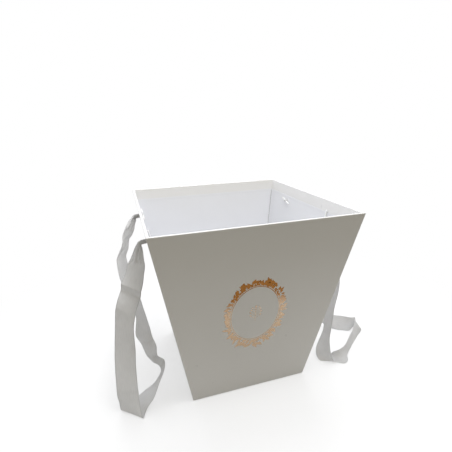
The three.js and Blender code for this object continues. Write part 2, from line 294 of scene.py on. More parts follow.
def stay_tape():
    """Gummed brown paper tape, its fibres along its length."""
    r = Recipe("stay_tape", Specular_IOR_Level=0.3)
    fibre = r.noise(900, 4, place=r.place((1, 1, 0.12)), roughness=0.6)
    tone = r.mixed(r.spread(fibre, 0.3, 0.7), (0.50, 0.35, 0.20, 1), (0.64, 0.47, 0.29, 1))
    shine = r.spread(fibre, 0.3, 0.7, 0.62, 0.8)
    return r.drive(Base_Color=tone, Roughness=shine, Normal=r.bump(fibre, 0.05 * MM, 0.5))


def satin_ribbon():
    """White satin: fine cross ribs, soft long streaks and a denser selvedge at each edge."""
    r = Recipe(
        "satin_ribbon", Specular_IOR_Level=0.6, Anisotropic=0.55,
        Sheen_Weight=0.18, Sheen_Roughness=0.4,
    )
    across_along = r.node("ShaderNodeUVMap", uv_map="ribbon").outputs["UV"]
    parts = r.node("ShaderNodeSeparateXYZ", {"Vector": across_along})
    ribs = r.maths("SINE", r.maths("MULTIPLY", parts.outputs["Y"], 2 * math.pi / RIB_PITCH), 0)
    warp = r.maths("SINE", r.maths("MULTIPLY", parts.outputs["X"], 2 * math.pi / WARP_PITCH), 0)
    stretched = r.node(
        "ShaderNodeMapping", {"Vector": across_along, "Scale": (1, 0.12, 1)}
    ).outputs["Vector"]
    streaks = r.noise(900, 3, place=stretched)
    off_centre = r.maths("ABSOLUTE", r.maths("SUBTRACT", parts.outputs["X"], RIBBON_WIDTH / 2), 0)
    selvedge = r.spread(off_centre, SELVEDGE_START, SELVEDGE_FULL)
    tone = r.mixed(r.spread(streaks, 0.3, 0.7), grey(0.86), grey(0.92, 0.003))
    tone = r.mixed(r.maths("MULTIPLY", selvedge, 0.45), tone, grey(0.70))
    shine = r.spread(streaks, 0.3, 0.7, 0.30, 0.40)
    shine = r.maths("ADD", shine, r.maths("MULTIPLY", selvedge, 0.18))
    thread = r.bump(r.maths("ADD", ribs, warp), 0.008 * MM, 0.12)
    bound = r.bump(selvedge, 0.12 * MM, 0.6, under=thread)
    tangent = r.node("ShaderNodeTangent", direction_type="UV_MAP", uv_map="ribbon")
    r.drive(Base_Color=tone, Roughness=shine, Normal=bound, Tangent=tangent.outputs[0])
    glow = r.node("ShaderNodeBsdfTranslucent", {"Color": tone}).outputs[0]
    both = r.node("ShaderNodeMixShader", {"Fac": SATIN_GLOW, 1: r.shader.outputs[0], 2: glow})
    output = r.tree.nodes["Material Output"]
    r.tree.links.new(both.outputs[0], output.inputs["Surface"])
    return r.material


def barb_plastic():
    """White moulded plastic with a faint flow pattern."""
    r = Recipe("barb_plastic", Specular_IOR_Level=0.5, Subsurface_Weight=0.06)
    flow = r.noise(240, 3)
    tone = r.mixed(flow, grey(0.84, 0.01), grey(0.90, 0.005))
    shine = r.spread(flow, 0.3, 0.7, 0.34, 0.48)
    return r.drive(Base_Color=tone, Roughness=shine, Normal=r.bump(r.noise(1500, 2), 0.02 * MM, 0.4))


def copper_foil():
    """Hot-stamped copper foil on the paper's grain, with a painted reflection: dark copper at the crown, pale
    copper towards the foot.
    """
    r = Recipe("copper_foil", Metallic=1.0)
    worn = r.spread(r.noise(160, 4), 0.3, 0.7)
    # Painted reflection: the tone goes by height from pale copper low down to dark copper at the crown,
    # standing in for the lit near floor and the dark far floor that the foil reflects.
    dark_reflection_copper = r.mixed(worn, (0.44, 0.18, 0.04, 1), (0.56, 0.25, 0.07, 1))
    pale = r.mixed(worn, (0.95, 0.66, 0.43, 1), (1.0, 0.76, 0.53, 1))
    height = r.node("ShaderNodeSeparateXYZ", {"Vector": r.place()}).outputs["Z"]
    tone = r.mixed(r.spread(height, FOIL_LIT_REFLECTION_BELOW, FOIL_DARK_REFLECTION_ABOVE), pale, dark_reflection_copper)
    shine = r.spread(r.noise(700, 3), 0.3, 0.7, 0.16, 0.26)
    return r.drive(Base_Color=tone, Roughness=shine, Normal=r.bump(r.noise(900, 2), 0.015 * MM, 0.35))


MATERIALS = {
    "wrap_paper": wrap_paper(),
    "liner_paper": liner_paper(),
    "grey_board": grey_board(),
    "stay_tape": stay_tape(),
    "satin_ribbon": satin_ribbon(),
    "barb_plastic": barb_plastic(),
    "copper_foil": copper_foil(),
}


# ---------------------------------------------------------------- mesh helpers

def new_piece(name, points, faces, slot, smooth=True):
    mesh = bpy.data.meshes.new(name)
    mesh.from_pydata([tuple(p) for p in points], [], faces)
    tidy = bmesh.new()
    tidy.from_mesh(mesh)
    bmesh.ops.recalc_face_normals(tidy, faces=tidy.faces)
    tidy.to_mesh(mesh)
    tidy.free()
    mesh.polygons.foreach_set("use_smooth", [smooth] * len(mesh.polygons))
    mesh.materials.append(MATERIALS[slot])
    piece = bpy.data.objects.new(name, mesh)
    bpy.context.scene.collection.objects.link(piece)
    return piece


def apply_modifiers(piece):
    """Makes the modifiers' result the piece's own mesh."""
    bpy.context.view_layer.update()
    evaluated = piece.evaluated_get(bpy.context.evaluated_depsgraph_get())
    mesh = bpy.data.meshes.new_from_object(evaluated)
    piece.modifiers.clear()
    piece.data = mesh


def cut(piece, tools):
    for tool in tools:
        modifier = piece.modifiers.new("cut", "BOOLEAN")
        modifier.operation = "DIFFERENCE"
        modifier.solver = "EXACT"
        modifier.object = tool
    apply_modifiers(piece)
    for tool in tools:
        bpy.data.objects.remove(tool)


def even_shading(piece):
    """Flat faces stay flat in the shading, and their rounded edges turn smoothly."""
    modifier = piece.modifiers.new("normals", "WEIGHTED_NORMAL")
    modifier.keep_sharp = True
    modifier.weight = 100


def grid_faces(rows, columns, closed=False):
    """Quads between rows of points that are columns wide. A closed grid joins its last row to its first."""
    faces = []
    for i in range(rows if closed else rows - 1):
        for j in range(columns - 1):
            a, b = i * columns + j, ((i + 1) % rows) * columns + j
            faces.append((a, a + 1, b + 1, b))
    return faces


def square_ring(r, z, corner, steps=6):
    """Points round a square with rounded corners, counter-clockwise seen from above."""
    ring = []
    for quarter in range(4):
        turn = Matrix.Rotation(quarter * math.pi / 2, 3, "Z")
        for step in range(steps + 1):
            angle = math.pi / 2 * step / steps
            x = r - corner + corner * math.cos(angle)
            y = r - corner + corner * math.sin(angle)
            ring.append(turn @ Vector((x, y, z)))
    return ring


def swept_square(name, profile, slot):
    """A square shell from a closed profile of (half width, height, corner radius)."""
    points = []
    for r, z, corner in profile:
        ring = square_ring(r, z, corner)
        points += [*ring, ring[0]]
    faces = grid_faces(len(profile), len(ring) + 1, closed=True)
    piece = new_piece(name, points, faces, slot)
    tidy = bmesh.new()
    tidy.from_mesh(piece.data)
    bmesh.ops.remove_doubles(tidy, verts=tidy.verts, dist=1e-6)
    bmesh.ops.recalc_face_normals(tidy, faces=tidy.faces)
    tidy.to_mesh(piece.data)
    tidy.free()
    return piece


def hole_drills(side):
    """Cutters for a side wall's two ribbon holes."""
    drills = []
    steps = 28
    for along in (-HOLE_SPREAD, HOLE_SPREAD):
        points = []
        for out in (-10 * MM, 10 * MM):
            for step in range(steps):
                angle = 2 * math.pi * step / steps
                x = along + HOLE_DIAMETER / 2 * math.cos(angle)
                y = HOLE_Z / RAISE + HOLE_DIAMETER / 2 * math.sin(angle)
                points.append(wall_frame(side) @ Vector((x, y, out)))
        faces = [(i, (i + 1) % steps, steps + (i + 1) % steps, steps + i) for i in range(steps)]
        faces += [tuple(range(steps))[::-1], tuple(range(steps, 2 * steps))]
        drills.append(new_piece("drill", points, faces, "grey_board", smooth=False))
    return drills


def plate(points, outline, low, high):
    """Adds a thin flat plate to points, and returns its faces. The outline is in the XY plane."""
    first, count = len(points), len(outline)
    points += [Vector((x, y, z)) for z in (low, high) for x, y in outline]
    ring = [first + i for i in range(count)]
    faces = [tuple(reversed(ring)), tuple(count + i for i in ring)]
    for i in range(count):
        a, b = ring[i], ring[(i + 1) % count]
        faces.append((a, b, b + count, a + count))
    return faces


# ---------------------------------------------------------------- papers

def wrap_skins():
    """The wrap's outer and inner skin, from the foot to the turned-in end.

    Each is a list of (half width, height, corner radius).
    """
    skins = []
    for inset in (0, PAPER):
        skin = [(BASE_WIDTH / 2 - BASE_TURN_IN, WRAP_BOTTOM + inset, 0.5 * MM)]
        corner = CORNER_ROUND - inset
        foot = FOOT_ROUND - inset
        for step in range(5):
            angle = math.pi / 2 * step / 4
            depth = FOOT_ROUND - foot * math.sin(angle)
            z = WRAP_BOTTOM + FOOT_ROUND - foot * math.cos(angle)
            skin.append((half(z, depth), z, corner))
        rim = RIM_ROUND - inset
        for step in range(5):
            angle = math.pi / 2 * step / 4
            depth = RIM_ROUND - rim * math.cos(angle)
            z = HEIGHT - RIM_ROUND + rim * math.sin(angle)
            skin.append((half(z, depth), z, corner))
        for step in range(5):
            angle = math.pi / 2 * step / 4
            depth = TURN_FACE - RIM_ROUND + rim * math.sin(angle)
            z = HEIGHT - RIM_ROUND + rim * math.cos(angle)
            skin.append((half(z, depth), z, INNER_ROUND))
        end = HEIGHT - TURN_IN * RAISE
        skin.append((half(end, TURN_FACE - inset), end, INNER_ROUND))
        skins.append(skin)
    return skins


def add_mitres(points, faces):
    """Folded paper corners on the inside of the turned-in edge, one at each corner."""
    top = HEIGHT - RIM_ROUND
    foot = HEIGHT - (LINER_TOP + 1 * MM) * RAISE
    for turn in WALL_TURNS.values():
        spin = Matrix.Rotation(turn, 4, "Z")
        first = len(points)
        for depth in (TURN_FACE - 0.05 * MM, TURN_FACE + 0.22 * MM):
            for z, reach in ((top, MITRE_TOP), (foot, MITRE_FOOT)):
                r = half(z, depth)
                corner = half(z, TURN_FACE + 0.3 * MM)
                points.append(spin @ Vector((corner, -r, z)))
                points.append(spin @ Vector((corner - reach, -r, z)))
        a = first
        faces += [
            (a, a + 1, a + 3, a + 2), (a + 4, a + 6, a + 7, a + 5), (a, a + 4, a + 5, a + 1),
            (a + 2, a + 3, a + 7, a + 6), (a + 1, a + 5, a + 7, a + 3), (a, a + 2, a + 6, a + 4),
        ]


def add_glue_lap(points, faces):
    """The lapped edge of the wrap's one upright seam, on the back wall beside its left corner."""
    first = len(points)
    low, high = WRAP_BOTTOM + FOOT_ROUND, HEIGHT - RIM_ROUND
    for depth in (0.05 * MM, -0.2 * MM):
        for z in (low, high):
            r = half(z, depth)
            edge = half(z, CORNER_ROUND)
            points.append(Vector((edge, r, z)))
            points.append(Vector((edge - LAP_WIDTH, r, z)))
    a = first
    faces += [
        (a, a + 2, a + 3, a + 1), (a + 4, a + 5, a + 7, a + 6), (a, a + 1, a + 5, a + 4),
        (a + 2, a + 6, a + 7, a + 3), (a + 1, a + 3, a + 7, a + 5), (a, a + 4, a + 6, a + 2),
    ]


def joined_to(piece, name, points, faces, slot):
    """Adds separate closed shapes to a piece's mesh."""
    extra = new_piece(name, points, faces, slot, smooth=False)
    both = bmesh.new()
    both.from_mesh(piece.data)
    both.from_mesh(extra.data)
    both.to_mesh(piece.data)
    both.free()
    bpy.data.objects.remove(extra)


def make_wrap():
    outer, inner = wrap_skins()
    wrap = swept_square("wrap", [*outer, *reversed(inner)], "wrap_paper")
    cut(wrap, [*hole_drills("left"), *hole_drills("right")])
    points, faces = [], []
    add_mitres(points, faces)
    add_glue_lap(points, faces)
    joined_to(wrap, "wrap_laps", points, faces, "wrap_paper")
    even_shading(wrap)
    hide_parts("outer_wrap")
    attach(wrap, "box")


def make_side_liner():
    """The liner steps off the turned-in edge, and its ends almost meet in the back right corner."""
    top = HEIGHT - LINER_TOP * RAISE
    step_top = HEIGHT - (TURN_IN + 1 * MM) * RAISE
    step_end = step_top - LINER_STEP
    foot = FLOOR_LINER
    outer = [
        (half(foot, TURN_OUT), foot), (half(step_end, TURN_OUT), step_end),
        (half(step_top, LINER_OUT), step_top), (half(top, LINER_OUT), top),
    ]
    inner = [
        (half(top, LINER_FACE), top), (half(step_top, LINER_FACE), step_top),
        (half(step_end, TURN_FACE), step_end), (half(foot, TURN_FACE), foot),
    ]
    profile = [(r, z, INNER_ROUND + 0.8 * MM) for r, z in outer]
    profile += [(r, z, INNER_ROUND + 0.5 * MM) for r, z in inner]
    liner = swept_square("inner_side_liner", profile, "liner_paper")
    seam_outline = [
        (SEAM_CUT_START, -LINER_SEAM / 2), (SEAM_CUT_END, -LINER_SEAM / 2),
        (SEAM_CUT_END, LINER_SEAM / 2), (SEAM_CUT_START, LINER_SEAM / 2),
    ]
    seam_points = []
    seam_faces = plate(seam_points, seam_outline, SEAM_CUT_LOW, SEAM_CUT_HIGH)
    spin = Matrix.Rotation(math.pi / 4, 4, "Z")
    seam = new_piece("seam", [spin @ p for p in seam_points], seam_faces, "grey_board", smooth=False)
    cut(liner, [seam, *hole_drills("left"), *hole_drills("right")])
    even_shading(liner)
    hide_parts("side_liner")
    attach(liner, "box")


# ---------------------------------------------------------------- foil print

def leaf_outline(length, width, bend, at, turn):
    """A pointed leaf from its own root at `at`, turned by `turn`, its tip bent sideways by `bend`."""
    outline = []
    steps = 5
    for way in (1, -1):
        for step in range(steps):
            t = step / steps if way > 0 else 1 - step / steps
            x = length * t
            y = way * width / 2 * math.sin(math.pi * t ** 0.75) + bend * t * t
            c, s = math.cos(turn), math.sin(turn)
            outline.append((at[0] + c * x - s * y, at[1] + s * x + c * y))
    return outline


def ring_point(angle, outward=0.0):
    """A point of the oval, angle 0 at the crown, and the direction out of it there."""
    x = (RING_HALF_WIDTH + outward) * math.sin(angle)
    y = (RING_HALF_HEIGHT + outward) * math.cos(angle)
    return (x, y), math.atan2(y / RING_HALF_HEIGHT ** 2, x / RING_HALF_WIDTH ** 2)


def add_ring(points, faces, inset, line, steps=120):
    """A thin oval band, inset from the ring's own line."""
    first = len(points)
    for outward, z in ((inset - line / 2, FOIL_LOW), (inset + line / 2, FOIL_LOW),
                       (inset + line / 2, FOIL_HIGH), (inset - line / 2, FOIL_HIGH)):
        for step in range(steps):
            (x, y), _ = ring_point(2 * math.pi * step / steps, outward)
            points.append(Vector((x, y, z)))
    for band in range(4):
        for step in range(steps):
            a = first + band * steps + step
            b = first + band * steps + (step + 1) % steps
            c = first + (band + 1) % 4 * steps + (step + 1) % steps
            d = first + (band + 1) % 4 * steps + step
            faces.append((a, b, c, d))


def foil_piece(name, node, points, faces):
    frame_on_wall = wall_frame("front") @ Matrix.Translation((RING_ACROSS, RING_CENTRE, 0))
    foil = new_piece(name, [frame_on_wall @ p for p in points], faces, "copper_foil", smooth=False)
    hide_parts(node)
    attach(foil, "box")


def make_wreath():
    """Leaves of mixed sizes crowd round a thin oval line, with two tufts at the crown and a wider foot."""
    draw = random.Random(7)
    points, faces = [], []
    add_ring(points, faces, 0, RING_LINE)
    add_ring(points, faces, FINE_RING_OUT, FINE_RING_LINE)
    leaf = 0
    for root_low, root_high, count, size in LEAF_LAYERS:
        for side in (-1, 1):
            for i in range(count):
                share = (i + draw.uniform(0.15, 0.85)) / count      # 0 at the foot, 1 at the crown
                angle = side * math.pi * (1 - share)
                crown = math.exp(-((abs(angle) - TUFT_ANGLE) / TUFT_SPREAD) ** 2)
                foot = max(0.0, 1 - (math.pi - abs(angle)) / FOOT_REACH)
                root = draw.uniform(root_low, root_high) * MM * (1 + 0.6 * foot)
                at, outward = ring_point(angle, root)
                length = draw.uniform(4.2, 7.8) * MM * size * (1 + 0.7 * crown + 0.3 * foot)
                width = length * draw.uniform(0.36, 0.55)
                sweep = side * draw.choice((-0.5, 0.2, 0.7, 1.1)) + draw.uniform(-0.2, 0.2)
                bend = draw.uniform(-0.18, 0.18) * length
                lift = LEAF_STEP * (leaf % 6)
                leaf += 1
                outline = leaf_outline(length, width, bend, at, outward + sweep)
                faces += plate(points, outline, FOIL_LOW, FOIL_HIGH + lift)
    foil_piece("leaf_wreath", "foil_wreath", points, faces)


def add_line(points, faces, start, end, line):
    """A straight foil stroke."""
    (x0, y0), (x1, y1) = start, end
    length = math.hypot(x1 - x0, y1 - y0)
    nx, ny = (y0 - y1) / length * line / 2, (x1 - x0) / length * line / 2
    faces += plate(
        points, [(x0 + nx, y0 + ny), (x0 - nx, y0 - ny), (x1 - nx, y1 - ny), (x1 + nx, y1 + ny)],
        FOIL_LOW, FOIL_HIGH,
    )


def make_sprig():
    """A fine sprig in the middle of the oval: a stem, paired leaves and a bud."""
    points, faces = [], []
    stem = 0.45 * MM
    add_line(points, faces, (0, -11 * MM), (0, 9 * MM), stem)
    for up, length in ((-7, 6.5), (-2.5, 7.0), (2, 6.0), (6, 4.6)):
        for side in (-1, 1):
            turn = math.pi / 2 - side * 0.95
            at = (0, up * MM)
            tip = (at[0] + length * MM * math.cos(turn), at[1] + length * MM * math.sin(turn))
            add_line(points, faces, at, tip, 0.3 * MM)
            faces += plate(
                points, leaf_outline(length * 0.55 * MM, 1.5 * MM, 0, tip, turn + side * 0.25),
                FOIL_LOW, FOIL_HIGH + LEAF_STEP,
            )
    faces += plate(points, leaf_outline(4.5 * MM, 1.9 * MM, 0, (0, 9 * MM), math.pi / 2), FOIL_LOW, FOIL_HIGH)
    foil_piece("centre_sprig", "foil_sprig", points, faces)


# ---------------------------------------------------------------- ribbons

# Each row is the middle of the ribbon, and the way across it from its first edge to its second, in mm.
LEFT_ROUTE = [
    ((-130, -57.5, 215), (6, -8, -2)), ((-132, -57.5, 206), (10, -11, 0)),
    ((-134.5, -58, 196), (16, -13, 2)), ((-138, -59, 183), (21, -14, 1)),
    ((-142, -60, 170), (22, -9, -9)), ((-146, -62, 158), (21, -8, -10)),
    ((-151, -65, 146), (20, -5, -13)), ((-155, -68, 126), (20, -12, -9)),
    ((-158, -71, 103), (23, -10, -1)), ((-160, -73, 74), (24, -4, -6)),
    ((-161, -75, 40), (25, -3, -5)), ((-161, -77, 14), (25, -12, -4)),
    ((-159, -79, 1.2), (26, -21, 0)), ((-156, -74, 4), (25, -20, 0)),
    ((-146, -73, 12), (16, -20, 3)), ((-136, -71, 20), (10, -22, 5)),
    ((-124, -63, 29), (5, -19, 15)), ((-115, -52, 38), (3, -17, 18)),
    ((-116, -50, 46), (6, -16, 18)), ((-122, -50, 57), (9, -17, 15)),
    ((-128, -49, 68), (16, -17, 6)), ((-133, -48, 82), (22, -8, -8)),
    ((-134, -45, 97), (19, 4, -16)), ((-136, -40, 116), (13, 15, -15)),
    ((-144, -20, 147), (14, 19, -8)), ((-149, -8, 160), (13, 21, -3)),
    ((-151, 4, 175), (12, 21, -5)), ((-150, 13, 184), (9, 21, -10)),
    ((-144, 23, 196), (9, 20, -12)), ((-138, 34, 206), (9, 17, -11)),
    ((-134, 44, 214), (8, 15, -7)), ((-131, 51, 219), (9, 11, -4)),
]

RIGHT_ROUTE = [
    ((131.5, -57.5, 213), (1, -9, 0)), ((133, -57.5, 203), (0, -16, 0)),
    ((135, -57.5, 188), (-1, -24, 2)), ((137, -58, 165), (-2, -25, 2)),
    ((138, -58, 140), (-2, -25, 2)), ((138, -58, 115), (-2, -25, 2)),
    ((136, -58, 95), (-2, -25, 2)), ((134, -60, 76), (-3, -25, 3)),
    ((133, -61, 58), (-5, -24, 3)), ((131, -62, 44), (-5, -24, 2)),
    ((127, -64, 30), (2, -24, 3)), ((124, -67, 17), (11, -22, 2)),
    ((125, -71, 6.5), (17, -18, 1)), ((132, -75, 1.6), (24, -12, 0)),
    ((146, -74, 2), (14, -21, -1)), ((156, -71, 9), (18, 2, -16)),
    ((170, -64, 11), (16, 8, -18)), ((186, -52, 13), (13, 5, -21)),
    ((206, -36, 11), (15, 5, -18)), ((224, -20, 11.5), (14, 0, -19)),
    ((222, -12, 12), (3, 6, -22)), ((212, -15, 12.5), (0, 0, -23)),
    ((200, -9, 13), (1, -9, -23)), ((187, -1, 13), (1, -12, -22)),
    ((173, 9, 17), (3, 9, -23)), ((163, 17, 30), (6, 17, -17)),
    ((157, 24, 50), (7, 21, -11)), ((151, 32, 80), (6, 23, -6)),
    ((146, 40, 115), (4, 25, -3)), ((141, 47, 150), (2, 25, -1)),
    ((136, 53, 185), (0, 23, 0)), ((133, 56, 204), (0, 16, 0)),
    ((131, 57.5, 213), (0, 9, 0)),
]


def through(points, per_span):
    """A smooth curve through points (centripetal Catmull-Rom), per_span samples to each span."""
    padded = np.vstack([2 * points[0] - points[1], points, 2 * points[-1] - points[-2]])
    knots = np.maximum(np.linalg.norm(np.diff(padded, axis=0), axis=1) ** 0.5, 1e-4)
    share = np.arange(per_span)[:, None] / per_span
    curve = []
    for i in range(1, len(padded) - 2):
        p0, p1, p2, p3 = padded[i - 1:i + 3]
        d0, d1, d2 = knots[i - 1:i + 2]
        t1 = d1 * ((p1 - p0) / d0 - (p2 - p0) / (d0 + d1) + (p2 - p1) / d1)
        t2 = d1 * ((p2 - p1) / d1 - (p3 - p1) / (d1 + d2) + (p3 - p2) / d2)
        curve.append(
            p1 + share * t1 + share ** 2 * (3 * (p2 - p1) - 2 * t1 - t2)
            + share ** 3 * (2 * (p1 - p2) + t1 + t2)
        )
    return np.vstack([*curve, points[-1:]])


def evenly(middle, across, pitch):
    """Middle and across at equal steps along the middle, and the distance along it."""
    steps = np.linalg.norm(np.diff(middle, axis=0), axis=1)
    along = np.concatenate([[0], np.cumsum(steps)])
    wanted = np.linspace(0, along[-1], int(along[-1] / pitch) + 1)

    def take(values):
        return np.column_stack([np.interp(wanted, along, values[:, k]) for k in range(3)])

    return take(middle), take(across), wanted


def relaxed(values, passes):
    """Values with each row drawn to the mean of its neighbours, ends held."""
    for _ in range(passes):
        values = values.copy()
        values[1:-1] = values[1:-1] / 2 + (values[:-2] + values[2:]) / 4
    return values


def smoothstep(t):
    t = np.clip(t, 0, 1)
    return t * t * (3 - 2 * t)


def along_profile(profile, distance):
    """A ribbon's height off its route from (distance, height) points, joined by straight lines."""
    at, height = np.array(profile, float).T * MM
    return np.interp(distance, at, height)


def ribbon_sheet(name, rows, neck_length, pleats, waves, creases=(), seed=1):
    """A ribbon along rows of (middle, across) in metres.

    Near its ends it is narrower than its cut width, and gathered in pleats. Waves are
    (distance, height) points in mm, and creases are (distance, slant, height, spread): the slant
    is how far a crease runs along for each step across, and the rest is in mm.
    """
    draw = random.Random(seed)
    middle = through(np.array([r[0] for r in rows], float), 24)
    across = through(np.array([r[1] for r in rows], float), 24)
    middle, across, along = evenly(middle, across, RIBBON_PITCH)
    middle, across = relaxed(middle, 6), relaxed(across, 6)
    tangent = np.gradient(middle, axis=0)
    face = np.cross(tangent, across)
    face /= np.linalg.norm(face, axis=1)[:, None]
    from_end = np.minimum(along, along[-1] - along)
    gather = 1 - smoothstep(from_end / neck_length)
    width = np.linalg.norm(across, axis=1)
    full = across / width[:, None] * np.maximum(width, RIBBON_WIDTH)[:, None]
    across = full + (across - full) * smoothstep(gather * 4)[:, None]
    width = np.linalg.norm(across, axis=1)
    spare = np.sqrt(np.maximum(RIBBON_WIDTH ** 2 - width ** 2, 0)) * smoothstep(gather * 4)
    phase = [draw.uniform(0, 2 * math.pi) for _ in range(6)]
    u = np.linspace(-0.5, 0.5, RIBBON_COLUMNS + 1)
    shift = relaxed(along_profile(waves, along)[:, None], 4)[:, 0]
    points, uvs = [], []
    for i, s in enumerate(along):
        fold = spare[i] / (4 * pleats) * np.sin(2 * math.pi * pleats * u + phase[0] + 2.0 * gather[i])
        fold = fold * (1 - 0.25 * np.cos(6 * math.pi * u + phase[1]))
        ripple = LONG_RIPPLE * np.sin(2 * math.pi * s / LONG_RIPPLE_LENGTH + 3 * u + phase[2])
        ripple = ripple + SHORT_RIPPLE * np.sin(
            2 * math.pi * s / SHORT_RIPPLE_LENGTH - 5 * u + phase[3]
        )
        cup = CUP_HEIGHT * (4 * u * u - 0.33) * math.sin(2 * math.pi * s / CUP_LENGTH + phase[4])
        ridge = 0
        for at, slant, height, reach in creases:
            off = (s - at * MM - slant * u * RIBBON_WIDTH) / (reach * MM)
            ridge = ridge + height * MM * np.exp(-np.abs(off) ** 1.15)
        height = fold + (ripple + cup + shift[i] + ridge) * (1 - gather[i])
        row = middle[i] + np.outer(u, across[i]) + np.outer(height, face[i])
        row[:, 2] = np.maximum(row[:, 2], SATIN_THICK / 2)
        points.append(row)
        uvs.append(np.column_stack([(u + 0.5) * RIBBON_WIDTH, np.full_like(u, s)]))
    return satin_mesh(name, np.array(points), np.array(uvs), SATIN_THICK)


def satin_mesh(name, rows, uvs, thickness):
    """A satin piece from a grid of points, with its place on the ribbon in metres as UVs."""
    count, columns = rows.shape[:2]
    faces = grid_faces(count, columns)
    mesh = bpy.data.meshes.new(name)
    mesh.from_pydata(rows.reshape(-1, 3).tolist(), [], faces)
    mesh.polygons.foreach_set("use_smooth", [True] * len(faces))
    layer = mesh.uv_layers.new(name="ribbon")
    corners = np.array(faces).ravel()
    layer.data.foreach_set("uv", uvs.reshape(-1, 2)[corners].ravel())
    mesh.materials.append(MATERIALS["satin_ribbon"])
    piece = bpy.data.objects.new(name, mesh)
    bpy.context.scene.collection.objects.link(piece)
    thicken = piece.modifiers.new("thickness", "SOLIDIFY")
    thicken.thickness = thickness
    thicken.offset = 0
    apply_modifiers(piece)
    return piece


def hole_point(side, along, depth):
    """A point on a ribbon hole's centre line, at a depth into the wall. Negative depths are outside."""
    spot = wall_frame(side) @ Vector((along, HOLE_Z / RAISE, -depth))
    return tuple(spot)


def metres(rows):
    return [(tuple(v * MM for v in at), tuple(v * MM for v in way)) for at, way in rows]


def make_ribbon(side, route, waves, creases, seed):
    """One loop: in the front hole, round its route and out of the back hole."""
    sign = -1 if side == "left" else 1
    front, back = sign * -HOLE_SPREAD, sign * HOLE_SPREAD
    depths = (4.4 * MM, 2.2 * MM, -0.5 * MM, -4.5 * MM, -SWING_OUT)
    widths = (4.2 * MM, 4.4 * MM, 4.6 * MM, 4.8 * MM, NECK_WIDTH)
    start = [(hole_point(side, front, d), (0, -w, 0)) for d, w in zip(depths, widths)]
    end = [(hole_point(side, back, d), (0, w, 0)) for d, w in zip(depths, widths)]
    rows = [*start, *metres(route), *reversed(end)]
    ribbon = ribbon_sheet(
        f"{side}_ribbon_loop", rows, NECK_LENGTH, NECK_PLEATS, waves, creases, seed
    )
    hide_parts(f"{side}_ribbon")
    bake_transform(ribbon)
    return ribbon


def barb_frame(side, along, tilt):
    out = -(LINER_FACE + BARB_GAP + BARB_THICK / 2)
    return (
        wall_frame(side) @ Matrix.Translation((along, HOLE_Z / RAISE, out))
        @ Matrix.Rotation(math.radians(tilt), 4, "Z")
    )


def make_barb(side, end, along, tilt):
    """A slim moulded bar with rounded ends and a waist where the ribbon is tied."""
    place = barb_frame(side, along, tilt)
    points = []
    stations, section = 40, 16
    end_squareness, side_squareness = 14, 0.7
    waist_depth, waist_reach = 0.22, 0.14
    for i in range(stations + 1):
        t = -math.cos(math.pi * i / stations)
        close = max(1 - abs(t) ** end_squareness, 0.0) ** 0.5
        waist = 1 - waist_depth * math.exp(-(t / waist_reach) ** 2)
        for j in range(section):
            angle = 2 * math.pi * j / section
            c, s = math.cos(angle), math.sin(angle)
            y = BARB_WIDTH / 2 * close * waist * math.copysign(abs(c) ** side_squareness, c)
            z = BARB_THICK / 2 * close * math.copysign(abs(s) ** side_squareness, s)
            points.append(place @ Vector((BARB_LENGTH / 2 * t, y, z)))
    faces = []
    for i in range(stations):
        for j in range(section):
            a, b = i * section + j, i * section + (j + 1) % section
            faces.append((a, b, b + section, a + section))
    barb = new_piece(f"{side}_{end}_tie_bar", points, faces, "barb_plastic")
    tidy = bmesh.new()
    tidy.from_mesh(barb.data)
    bmesh.ops.remove_doubles(tidy, verts=tidy.verts, dist=1e-6)
    bmesh.ops.recalc_face_normals(tidy, faces=tidy.faces)
    tidy.to_mesh(barb.data)
    tidy.free()
    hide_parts(f"{side}_{end}_barb")
    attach(barb, "box")


def make_knot(side, end, along, tilt, seed):
    """The ribbon's end, gathered and tied round the middle of its bar."""
    place = barb_frame(side, along, tilt)
    turn = place.to_3x3()
    rows = []
    turns, steps = 1.3, 16
    for i in range(steps + 1):
        angle = 2 * math.pi * turns * i / steps
        grow = 1 + 0.25 * i / steps
        y = (BARB_WIDTH / 2 * 0.8 + 0.35 * MM) * grow * math.cos(angle)
        z = (BARB_THICK / 2 + 0.25 * MM) * grow * math.sin(angle)
        slip = 0.8 * MM * (i / steps - 0.5)
        rows.append((tuple(place @ Vector((slip, y, z))), tuple(turn @ Vector((4.6 * MM, 0, 0)))))
    knot = ribbon_knot_sheet(f"{side}_{end}_ribbon_knot", rows, seed)
    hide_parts(f"{side}_{end}_ribbon_end")
    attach(knot, "box")
    return knot


def ribbon_knot_sheet(name, rows, seed):
    """A short gathered length of ribbon."""
    middle = through(np.array([r[0] for r in rows], float), 6)
    across = through(np.array([r[1] for r in rows], float), 6)
    tangent = np.gradient(middle, axis=0)
    face = np.cross(tangent, across)
    face /= np.linalg.norm(face, axis=1)[:, None]
    phase = random.Random(seed).uniform(0, 6)
    u = np.linspace(-0.5, 0.5, 21)
    points, uvs = [], []
    for i in range(len(middle)):
        pleat = 0.28 * MM * np.sin(2 * math.pi * 3 * u + phase + 0.02 * i)
        points.append(middle[i] + np.outer(u, across[i]) + np.outer(pleat, face[i]))
        uvs.append(np.column_stack([(u + 0.5) * RIBBON_WIDTH, np.full_like(u, i * 0.3 * MM)]))
    return satin_mesh(name, np.array(points), np.array(uvs), 0.2 * MM)


# [wall, end, distance along the wall, tilt of the bar in degrees from level]
RIBBON_ENDS = [
    ("left", "front", HOLE_SPREAD, 80),
    ("left", "back", -HOLE_SPREAD, -25),
    ("right", "front", -HOLE_SPREAD, 88),
    ("right", "back", HOLE_SPREAD, 14),
]

